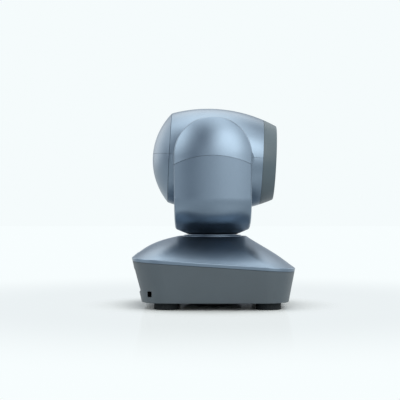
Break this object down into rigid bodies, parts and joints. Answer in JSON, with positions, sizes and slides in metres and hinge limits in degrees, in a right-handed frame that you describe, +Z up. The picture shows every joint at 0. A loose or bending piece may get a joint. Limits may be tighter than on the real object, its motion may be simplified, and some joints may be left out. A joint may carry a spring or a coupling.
{
  "type": "ptz camera",
  "caption": "Desktop pan-tilt-zoom camera: domed lens head in a two-armed yoke that turns on a low tapered base with rear sockets.",
  "frame": {"origin": "bottom centre, on the table under the pan axis", "axes": "+Z up along the pan axis, -Y forward through the lens, +X to the camera's left"},
  "size_m": [0.1288, 0.1247, 0.1561],
  "materials": {
    "satin_shell": "satin metallic blue-grey paint",
    "tub_grey": "fine-grained matte dark grey",
    "ring_grey": "satin dark grey",
    "rubber_black": "matte black",
    "baffle_black": "matte black",
    "jack_black": "moulded black",
    "tray_grey": "matte dark grey",
    "window_dark": "polished, near-black infrared-passing plastic",
    "light_pipe_clear": "frosted clear plastic",
    "glass_coated": "anti-reflection coated",
    "steel_plate": "zinc-plated sheet",
    "bearing_steel": "ground",
    "screw_steel": "black-nickel plated",
    "aluminium_part": "machined",
    "motor_metal": "plated can",
    "gear_plastic": "natural acetal",
    "brass_part": "machined",
    "bush_bronze": "sintered bronze",
    "jack_metal": "tin-plated",
    "board_green": "solder mask",
    "boss_black": "matte black powder coat",
    "frame_black": "glass-filled black",
    "cable_tan": "polyimide film"
  },
  "bodies": {
    "base": {"base_tub": "tub_grey", "base_lid": "satin_shell", "bottom_plate": "steel_plate", "tripod_boss": "boss_black", "rubber_feet": "rubber_black", "base_screws": "screw_steel", "connector_tray": "tray_grey", "dc_jack": "jack_black", "lan_jack": "jack_metal", "usb_jack": "jack_metal", "hdmi_jack": "jack_metal", "rs232_jack": "jack_black", "main_board": "board_green", "lock_plate": "steel_plate", "remote_window": "window_dark", "remote_receiver": "jack_black", "light_pipe": "light_pipe_clear", "pan_frame": "aluminium_part", "pan_bearing_outer": "bearing_steel", "pan_bearing_balls": "bearing_steel", "pan_motor": "motor_metal", "pan_home_sensor": "jack_black"},
    "pan_pinion": {"pan_pinion": "brass_part"},
    "yoke": {"pan_hub": "aluminium_part", "pan_gear": "gear_plastic", "pan_bearing_inner": "bearing_steel", "yoke_shell": "satin_shell", "arm_cap_left": "satin_shell", "arm_cap_right": "satin_shell", "yoke_liner": "satin_shell", "yoke_frame": "steel_plate", "yoke_screws": "screw_steel", "tilt_bushes": "bush_bronze", "tilt_motor": "motor_metal", "tilt_home_sensor": "jack_black", "pan_cable": "cable_tan"},
    "tilt_pinion": {"tilt_pinion": "brass_part"},
    "head": {"head_upper_shell": "satin_shell", "head_lower_shell": "satin_shell", "front_ring": "ring_grey", "lens_baffle": "baffle_black", "head_frame": "aluminium_part", "trunnion_left": "bearing_steel", "trunnion_right": "bearing_steel", "tilt_gear": "gear_plastic", "lens_housing": "frame_black", "guide_rods": "bearing_steel", "front_lens": "glass_coated", "zoom_motor": "motor_metal", "focus_motor": "motor_metal", "sensor_board": "board_green", "video_board": "board_green", "head_screws": "screw_steel"},
    "zoom_group": {"zoom_carriage": "frame_black", "zoom_lens": "glass_coated"},
    "focus_group": {"focus_carriage": "frame_black", "focus_lens": "glass_coated"},
    "zoom_screw": {"zoom_screw": "bearing_steel"},
    "focus_screw": {"focus_screw": "bearing_steel"}
  },
  "joints": [
    {"name": "pan", "type": "hinge", "parent": "base", "child": "yoke", "pos_m": [0, 0, 0.0376], "axis": [0, 0, 1], "range_deg": [-170, 170]},
    {"name": "pan_pinion_spin", "type": "hinge", "parent": "base", "child": "pan_pinion", "pos_m": [0, -0.0282, 0.0376], "axis": [0, 0, 1], "continuous": true},
    {"name": "tilt", "type": "hinge", "parent": "yoke", "child": "head", "pos_m": [0, 0, 0.1177], "axis": [1, 0, 0], "range_deg": [-92.8, 27.2]},
    {"name": "tilt_pinion_spin", "type": "hinge", "parent": "yoke", "child": "tilt_pinion", "pos_m": [0.043, 0, 0.0937], "axis": [1, 0, 0], "continuous": true},
    {"name": "zoom", "type": "slide", "parent": "head", "child": "zoom_group", "axis": [0, -0.9988, -0.0488], "range_m": [-0.006, 0.012]},
    {"name": "zoom_screw_spin", "type": "hinge", "parent": "head", "child": "zoom_screw", "pos_m": [0.0113, 0.00012, 0.1153], "axis": [0, -0.9988, -0.0488], "continuous": true},
    {"name": "focus", "type": "slide", "parent": "head", "child": "focus_group", "axis": [0, -0.9988, -0.0488], "range_m": [-0.005, 0.004]},
    {"name": "focus_screw_spin", "type": "hinge", "parent": "head", "child": "focus_screw", "pos_m": [-0.0113, 0.00012, 0.1153], "axis": [0, -0.9988, -0.0488], "continuous": true}
  ],
  "couplings": [
    {"joint": "pan_pinion_spin", "follows": "pan", "ratio": -5.7143},
    {"joint": "tilt_pinion_spin", "follows": "tilt", "ratio": -5.8571},
    {"joint": "zoom_screw_spin", "follows": "zoom", "rad_per_m": 2094.4},
    {"joint": "focus_screw_spin", "follows": "focus", "rad_per_m": 2094.4}
  ]
}
